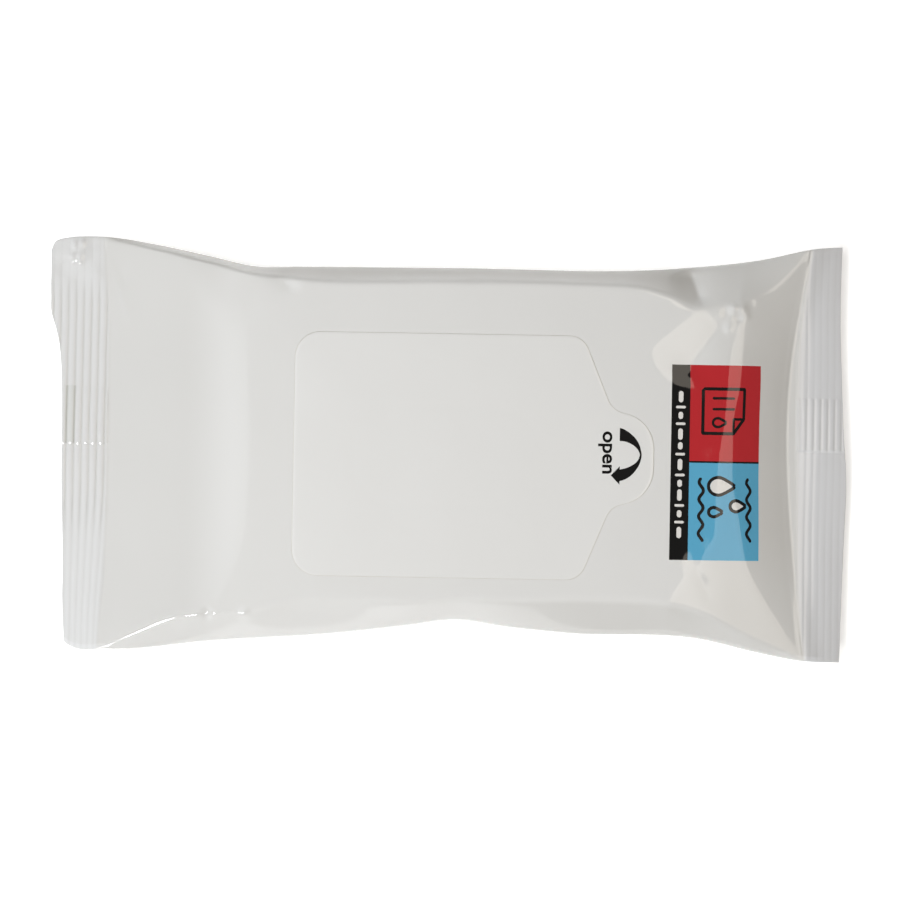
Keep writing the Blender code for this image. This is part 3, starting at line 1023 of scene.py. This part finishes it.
def ink_material(name, hex_colour):
    mat, tree, shader = new_material(name)
    shader.inputs["Base Color"].default_value = linear(hex_colour)
    shader.inputs["IOR"].default_value = 1.5
    film_surface_nodes(tree, shader, 0.08, 0.008)
    return mat


black_ink = ink_material("black_gravure_ink_under_gloss", BAND)
white_ink = ink_material("white_gravure_ink_under_gloss", "DAD8D4")
print("inks:", black_ink.name, white_ink.name)

# %% The arrow on the label
ARROW_OUTER = (
    (32.9, 4.66), (33.7, 4.40), (34.7, 3.80), (35.8, 2.85), (36.6, 1.70), (37.05, 0.35),
    (37.17, -0.9), (36.75, -2.4), (35.9, -3.75), (34.9, -4.75), (33.85, -5.35), (33, -5.62),
)
ARROW_INNER = (
    (32.9, 2.12), (33.9, 2.04), (35, 1.65), (35.9, 1.08), (36.5, 0.40), (36.8, -0.3),
    (36.75, -0.85), (36.45, -1.55), (35.85, -2.2), (34.85, -2.82), (33.8, -3.2), (33, -3.38),
)
ARROW_HEAD = ((33.0, -2.75), (31.3, -4.55), (33.0, -6.3))


def smooth_through(stations, count=48):
    """A smooth curve through (x, y) stations that are about evenly spaced."""
    t = np.arange(len(stations), dtype=float)
    at = np.linspace(0, t[-1], count)
    return np.stack([through(np.stack([t, np.array(stations)[:, k]], -1), at) for k in (0, 1)], -1)


head_side = [resampled(ARROW_HEAD[i:i + 2], 0.2) for i in (0, 1)]
head = ruled(head_side[0][::-1], head_side[1])
arrow = ruled(smooth_through(ARROW_OUTER), smooth_through(ARROW_INNER))


def on_label(places):
    return on_film(places[:, 0], places[:, 1], LABEL_THICK + INK)


arrow_points, arrow_faces = ink_faces([arrow, head], on_label)
print("arrow faces:", len(arrow_faces))

# %% The word beside it
WORD_BOX = (28.74, 31.48, -4.23, 3.93)      # low and high x, then low and high y
word = bpy.data.curves.new("word", "FONT")
word.body = "open"
word.resolution_u = 6
word.offset = 0.022         # a bolder weight than the plain face
word_object = bpy.data.objects.new("word", word)
bpy.context.scene.collection.objects.link(word_object)
bpy.context.view_layer.update()
drawn = word_object.evaluated_get(bpy.context.evaluated_depsgraph_get())
flat_word = bpy.data.meshes.new_from_object(drawn)
letters = np.empty(len(flat_word.vertices) * 3, dtype=np.float32)
flat_word.vertices.foreach_get("co", letters)
letters = letters.reshape(-1, 3)[:, :2].astype(float)
letter_faces = [list(p.vertices) for p in flat_word.polygons]
bpy.data.objects.remove(word_object)
low_corner, high_corner = letters.min(axis=0), letters.max(axis=0)
share = (letters - low_corner) / (high_corner - low_corner)
# The word reads down the pack, so its own x runs towards -y and its own y towards +x
word_x = WORD_BOX[0] + share[:, 1] * (WORD_BOX[1] - WORD_BOX[0])
word_y = WORD_BOX[3] - share[:, 0] * (WORD_BOX[3] - WORD_BOX[2])
word_points = on_label(np.stack([word_x, word_y], -1))
a, b, c = word_points[letter_faces[0][:3]]
letter_faces = letter_faces if np.cross(b - a, c - b)[2] > 0 else [f[::-1] for f in letter_faces]
marks = mesh_object(
    "label_print",
    np.concatenate([arrow_points, word_points]),
    arrow_faces.tolist() + [[v + len(arrow_points) for v in f] for f in letter_faces],
    (black_ink,),
)
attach(marks, "root")
print("word:", np.round(high_corner - low_corner, 3), "in its own units, now", WORD_BOX)

# %% [markdown]
# ## Marks on the block
#
# These are set out on the flat film, measured from the block's left edge, and then looked up on
# the folded one, so that they stay in their fields across the ridges.

# %% From the flat film to the folded one
def from_flat(points):
    """Points on the folded film from (u, v) places on the flat film, with u measured from the
    block's left edge: in each column of the film's grid u is looked up along the length, and the
    two nearest columns are blended."""
    u, v = points[:, 0] + BLOCK_LEFT, points[:, 1]
    at = np.clip(np.searchsorted(columns, v) - 1, 0, len(columns) - 2)
    blend = (v - columns[at]) / (columns[at + 1] - columns[at])
    x = np.zeros(len(u))
    for column in np.unique(np.concatenate([at, at + 1])):
        here = np.interp(u, flat_film[:, column, 0], upper[:, column, 0])
        weight = np.where(at == column, 1 - blend, 0) + np.where(at + 1 == column, blend, 0)
        x += here * weight
    return on_film(x, v, INK)


def drop(centre, size):
    """A drop's outline: a round end towards -u and a point towards +u."""
    angle = np.linspace(0, 2 * math.pi, 60)
    pull = np.maximum(np.cos(angle), 0) ** 3
    along = np.cos(angle) + 0.75 * pull
    aside = np.sin(angle) * (1 - 0.45 * pull)
    return np.stack([centre[0] + size * along, centre[1] + 0.9 * size * aside], -1)


def solid_shape(outline, centre):
    """A shape filled in from its outline: a strip from its outline to nearly its centre."""
    inner = np.broadcast_to(np.array(centre, float), outline.shape) + (outline - centre) * 0.02
    return ruled(outline, inner)


print("the block's near left corner:", from_flat(np.array([[0, BLOCK_LOW]])).round(1), "mm")

# %% Shapes on the block of colour
LINE, THIN_LINE = 0.62, 0.50
WHITE_DROPS = (((9.3, -6.3), 1.9), ((12.9, -10.1), 1.2))
PLAIN_DROP = ((8.5, -11.3), 1.0)
sheet = [(6.1, 12.5), (14.3, 12.5), (14.3, 6.7), (12.1, 3.9), (6.1, 3.9), (6.1, 12.5)]
turned_corner = [(14.1, 6.7), (12.1, 6.7), (12.1, 4.1)]
dark = [stroke(sheet, LINE), stroke(turned_corner, THIN_LINE)]
dark += [stroke(drop((9.0, 6.0), 0.95), THIN_LINE)]
dark += [stroke([(7.9, v), (12.3, v)], THIN_LINE) for v in (10.7, 8.6)]
dark += [stroke(drop(*d), LINE) for d in (*WHITE_DROPS, PLAIN_DROP)]
wave_v = np.linspace(-17.1, -4.7, 70)
wave_u = 0.42 * np.sin((wave_v + 4.7) * 1.9)
dark += [stroke(np.stack([u + wave_u, wave_v], -1), LINE) for u in (6.0, 15.6)]
light = [solid_shape(drop(centre, size - 0.35), centre) for centre, size in WHITE_DROPS]

TABLETS = (2.2, 0.9, 1.4, 0.9, 2.2, 1.4, 0.9, 2.2, 0.9, 1.4, 2.2, 0.9, 1.4, 0.9, 2.2)
TABLET_GAP = 0.46
BAND_MIDDLE = 1.8
v = 12.0
for size in TABLETS:
    if size < 1:                            # a narrow bar across the band
        bar = [(BAND_MIDDLE - 0.95, v - size / 2), (BAND_MIDDLE + 0.95, v - size / 2)]
        light.append(stroke(bar, 0.5))
    else:                                   # a tablet along it
        light.append(stroke([(BAND_MIDDLE, v), (BAND_MIDDLE, v - size)], 0.9))
    v -= size + TABLET_GAP

for name, grids, mat in (
    ("block_marks_dark", dark, black_ink),
    ("block_marks_light", light, white_ink),
):
    points, faces = ink_faces(grids, from_flat)
    print_piece = mesh_object(name, points, faces.tolist(), (mat,))
    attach(print_piece, "root")
    print(name, "faces:", len(faces))

# %% [markdown]
# ## Light, floor and camera
#
# Film is judged by what it mirrors, so the lights are few and placed by their mirror images. A
# small key from the near left makes the bright line along the front ridge. A broad cool panel on
# the left is mirrored by the whole left slope. A warm card on the right is mirrored only by the
# gentle facet, and the steep facet beyond it mirrors the dark room. Two more lights only fill, and
# have no mirror image.

# %% Soft boxes
def soft_box(name, azimuth, elevation, distance, size, glow, hex_colour):
    """An area light that faces the pack. Azimuth 0 is the near side and 90 the right, and glow is
    how bright its surface looks, where 1 is a fully lit white."""
    a, e = math.radians(azimuth), math.radians(elevation)
    data = bpy.data.lights.new(name, "AREA")
    data.shape = "RECTANGLE"
    data.size, data.size_y = size
    data.energy = glow * math.pi * size[0] * size[1]
    data.color = linear(hex_colour)[:3]
    light = bpy.data.objects.new(name, data)
    towards = Vector((math.sin(a) * math.cos(e), -math.cos(a) * math.cos(e), math.sin(e)))
    light.location = towards * distance
    light.rotation_euler = (-light.location).to_track_quat("-Z", "Y").to_euler()
    bpy.context.scene.collection.objects.link(light)
    return light


soft_box("key", -23, 44, 1.0, (0.14, 0.14), 42.0, "FFFFFF")
soft_box("left_panel", -95, 50, 0.8, (0.8, 0.9), 0.66, "F6F9FF")
# A small card that shows only as its mirror image in the film
card = soft_box("right_card", 92, 62, 0.8, (0.7, 0.42), 2.25, "FFF4E4")
card.visible_diffuse = False
# Light scattered by the room, which has no mirror image of its own
fill = soft_box("fill", -80, 64, 0.62, (0.5, 0.5), 2.88, "FDFEFF")
side_fill = soft_box("side_fill", 90, 40, 1.0, (0.6, 0.6), 0.9, "FFE0B4")
fill.visible_glossy = side_fill.visible_glossy = False

# %% [markdown]
# ## A plain table and an even room
#
# The table is white and glows a little, as on a light table, so that the pack's shadow stays faint.

# %% Room and table
world = bpy.data.worlds.new("studio")
world.use_nodes = True
world.node_tree.nodes["Background"].inputs["Color"].default_value = linear("FFFEFC")
world.node_tree.nodes["Background"].inputs["Strength"].default_value = 0.22
bpy.context.scene.world = world

floor_mat, tree, shader = new_material("white_table")
shader.inputs["Base Color"].default_value = linear("FFFFFF")
shader.inputs["Roughness"].default_value = 0.9
shader.inputs["Specular IOR Level"].default_value = 0.1
shader.inputs["Emission Color"].default_value = (1.0, 1.0, 1.0, 1.0)
shader.inputs["Emission Strength"].default_value = 0.38
SIDE, TABLE_Z = 3000.0, -0.05
table_corners = [[-SIDE, -SIDE], [SIDE, -SIDE], [SIDE, SIDE], [-SIDE, SIDE]]
table_points = np.array([[x, y, TABLE_Z] for x, y in table_corners])
floor = mesh_object("floor", table_points, [[0, 1, 2, 3]], (floor_mat,))
print("table:", 2 * SIDE * MM, "m wide")

# %% Camera, straight above
camera_data = bpy.data.cameras.new("camera")
camera = bpy.data.objects.new("camera", camera_data)
bpy.context.scene.collection.objects.link(camera)
CAMERA_HEIGHT = 0.85
FIELD = 0.1748            # width in view at the pack's side line, in metres
camera_data.sensor_width = 36.0
camera_data.lens = 36.0 * (CAMERA_HEIGHT - 0.006) / FIELD
camera.location = (0.0, 0.0, CAMERA_HEIGHT)
camera.rotation_euler = (0.0, 0.0, math.radians(1.008))
camera_data.clip_start, camera_data.clip_end = 0.01, 20.0
bpy.context.scene.camera = camera
bpy.context.scene.view_settings.view_transform = "Standard"
print("lens:", round(camera_data.lens, 1), "mm")
